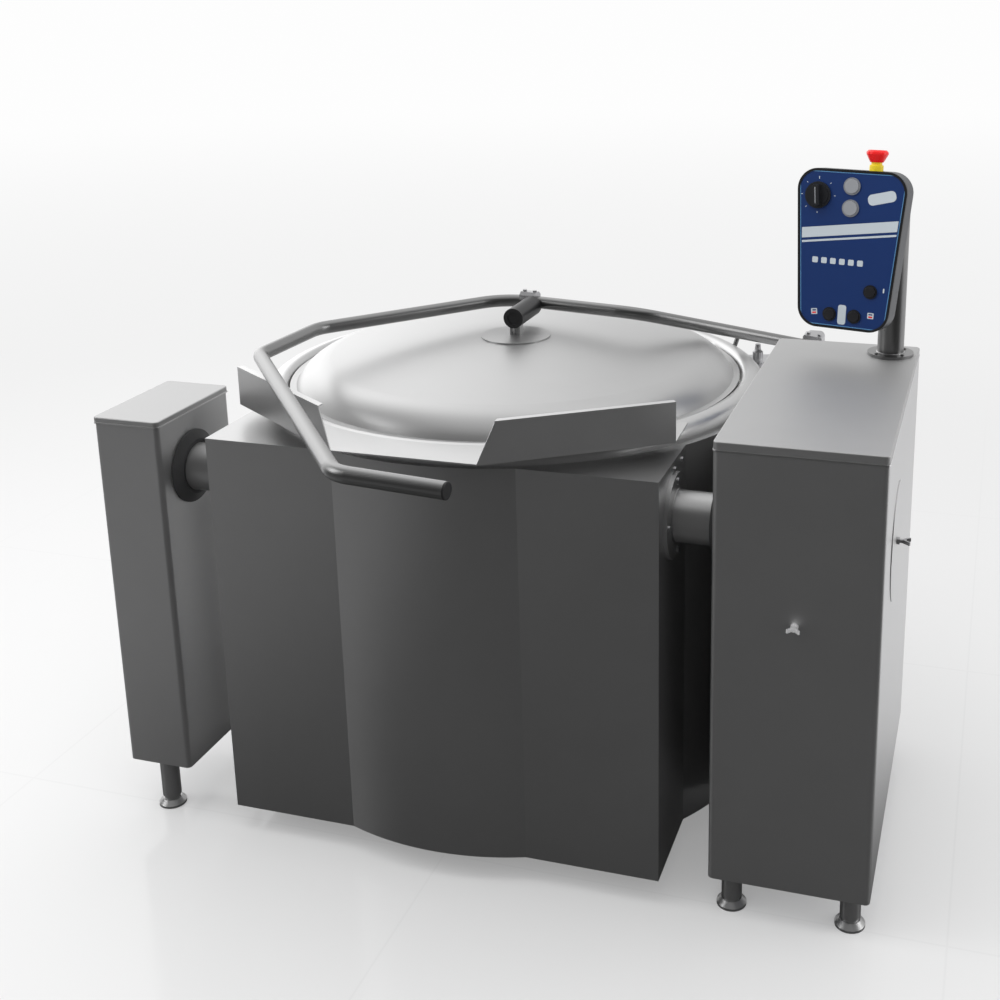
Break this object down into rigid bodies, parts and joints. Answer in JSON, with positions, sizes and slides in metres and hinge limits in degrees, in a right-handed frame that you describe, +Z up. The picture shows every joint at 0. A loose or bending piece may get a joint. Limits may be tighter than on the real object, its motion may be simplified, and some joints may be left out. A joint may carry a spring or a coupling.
{
  "type": "tilting cooking kettle",
  "caption": "Steam-jacketed tilting kettle hung on trunnions between two pillars, with a domed lid on a swing-up tube arm, a pouring lip with splash guides and a post-mounted control panel",
  "frame": {"origin": "centre of the whole machine's box, on the floor under the feet", "axes": "+X to the operator's right, along the tilt axis; +Y to the back; +Z up"},
  "size_m": [1.5724, 1.5609, 1.376],
  "materials": {
    "satin_steel": "fine brushed stainless sheet, satin",
    "polished_steel": "polished stainless, soft mirror",
    "bowl_steel": "ground stainless inside the vessel",
    "tube_steel": "satin stainless tube",
    "machined_steel": "machined stainless",
    "frame_steel": "grey primed steel",
    "black_rubber": "matte black rubber",
    "white_rubber": "food grade silicone",
    "black_plastic": "fine grained black plastic",
    "navy_film": "gloss dark blue panel face",
    "grey_plastic": "light grey button caps",
    "dark_buttons": "black button caps",
    "knob_plastic": "dark knob",
    "yellow_plastic": "yellow collar",
    "red_plastic": "red mushroom cap",
    "bronze": "bearing bronze",
    "motor_grey": "grey painted casting",
    "wrap_wool": "mineral wool in cloth",
    "element_metal": "dark heater sheath"
  },
  "bodies": {
    "stand": {"left_pillar_cover": "satin_steel", "left_pillar_top": "satin_steel", "pillar_backs": "satin_steel", "left_frame": "frame_steel", "right_pillar_cover": "satin_steel", "right_pillar_top": "satin_steel", "right_frame": "frame_steel", "pillar_feet": "tube_steel", "trunnion_seals": "black_rubber", "bearing_housings": "motor_grey", "bearing_bushes": "bronze", "side_cover": "satin_steel", "tilt_gearbox": "motor_grey", "tilt_motor": "motor_grey", "control_box": "frame_steel", "panel_post": "tube_steel", "panel_bracket": "machined_steel", "panel_housing": "navy_film", "panel_rim": "black_plastic", "panel_plate": "navy_film", "button_bezels": "black_plastic", "stop_collar": "yellow_plastic", "switch_blocks": "black_plastic"},
    "kettle": {"inner_vessel": "bowl_steel", "steam_jacket": "machined_steel", "insulation_wrap": "wrap_wool", "heating_elements": "element_metal", "kettle_casing": "satin_steel", "casing_floor": "satin_steel", "casing_deck": "satin_steel", "kettle_rim": "polished_steel", "pouring_lip": "polished_steel", "splash_guides": "polished_steel", "left_trunnion": "tube_steel", "right_trunnion": "tube_steel", "trunnion_brackets": "machined_steel", "trunnion_bolts": "machined_steel", "tilt_gear": "machined_steel", "safety_valve": "machined_steel", "vent_pipe": "tube_steel", "lid_hinge_bracket": "machined_steel"},
    "lid_arm_body": {"lid_arm": "tube_steel", "arm_knuckle": "machined_steel", "lid_hinge_pin": "machined_steel", "arm_end_plug": "black_plastic", "arm_clamp": "machined_steel"},
    "lid_body": {"lid_dome": "polished_steel", "lid_gasket": "white_rubber", "lid_boss": "polished_steel", "lid_sleeve": "black_plastic"},
    "side_latch_body": {"side_latch": "machined_steel"},
    "front_latch_body": {"front_latch": "machined_steel"},
    "tilt_pinion_body": {"tilt_pinion": "machined_steel"},
    "temperature_knob_body": {"temperature_knob": "knob_plastic"},
    "grey_button_upper_body": {"grey_button_upper": "grey_plastic"},
    "grey_button_lower_body": {"grey_button_lower": "grey_plastic"},
    "black_button_right_body": {"black_button_right": "dark_buttons"},
    "black_button_left_body": {"black_button_left": "dark_buttons"},
    "black_button_middle_body": {"black_button_middle": "dark_buttons"},
    "stop_button_body": {"stop_button": "red_plastic"}
  },
  "joints": [
    {"name": "kettle_tilt", "type": "hinge", "parent": "stand", "child": "kettle", "pos_m": [-0.08471, -0.18048, 0.758], "axis": [1, 0, 0], "range_deg": [0, 100]},
    {"name": "pinion_spin", "type": "hinge", "parent": "stand", "child": "tilt_pinion_body", "pos_m": [0.55529, -0.06808, 0.758], "axis": [1, 0, 0], "range_deg": [-300, 0]},
    {"name": "lid_hinge", "type": "hinge", "parent": "kettle", "child": "lid_arm_body", "pos_m": [0.50129, 0.66052, 0.872], "axis": [0, 1, 0], "range_deg": [0, 65]},
    {"name": "lid_rock", "type": "hinge", "parent": "lid_arm_body", "child": "lid_body", "pos_m": [-0.08471, 0.23552, 1.004], "axis": [0, 1, 0], "range_deg": [-2, 0]},
    {"name": "knob_turn", "type": "hinge", "parent": "stand", "child": "temperature_knob_body", "pos_m": [0.54958, 0.29791, 1.28209], "axis": [0.2218, 0.9683, -0.1149], "range_deg": [0, 270]},
    {"name": "side_latch_turn", "type": "hinge", "parent": "stand", "child": "side_latch_body", "pos_m": [0.75929, -0.05448, 0.7], "axis": [1, 0, 0], "range_deg": [0, 90]},
    {"name": "front_latch_turn", "type": "hinge", "parent": "stand", "child": "front_latch_body", "pos_m": [0.60929, -0.28348, 0.618], "axis": [0, -1, 0], "range_deg": [0, 90]},
    {"name": "stop_press", "type": "slide", "parent": "stand", "child": "stop_button_body", "axis": [-0.0257, -0.112, -0.9934], "range_m": [0, 0.005], "stiffness_N_per_m": 400},
    {"name": "grey_press_upper", "type": "slide", "parent": "stand", "child": "grey_button_upper_body", "axis": [0.2218, 0.9683, -0.1149], "range_m": [0, 0.0025], "stiffness_N_per_m": 300},
    {"name": "grey_press_lower", "type": "slide", "parent": "stand", "child": "grey_button_lower_body", "axis": [0.2218, 0.9683, -0.1149], "range_m": [0, 0.0025], "stiffness_N_per_m": 300},
    {"name": "black_press_right", "type": "slide", "parent": "stand", "child": "black_button_right_body", "axis": [0.2218, 0.9683, -0.1149], "range_m": [0, 0.0025], "stiffness_N_per_m": 300},
    {"name": "black_press_left", "type": "slide", "parent": "stand", "child": "black_button_left_body", "axis": [0.2218, 0.9683, -0.1149], "range_m": [0, 0.0025], "stiffness_N_per_m": 300},
    {"name": "black_press_middle", "type": "slide", "parent": "stand", "child": "black_button_middle_body", "axis": [0.2218, 0.9683, -0.1149], "range_m": [0, 0.0025], "stiffness_N_per_m": 300}
  ],
  "couplings": [
    {"joint": "pinion_spin", "follows": "kettle_tilt", "ratio": -3},
    {"joint": "lid_rock", "follows": "lid_hinge", "ratio": -0.030769}
  ]
}
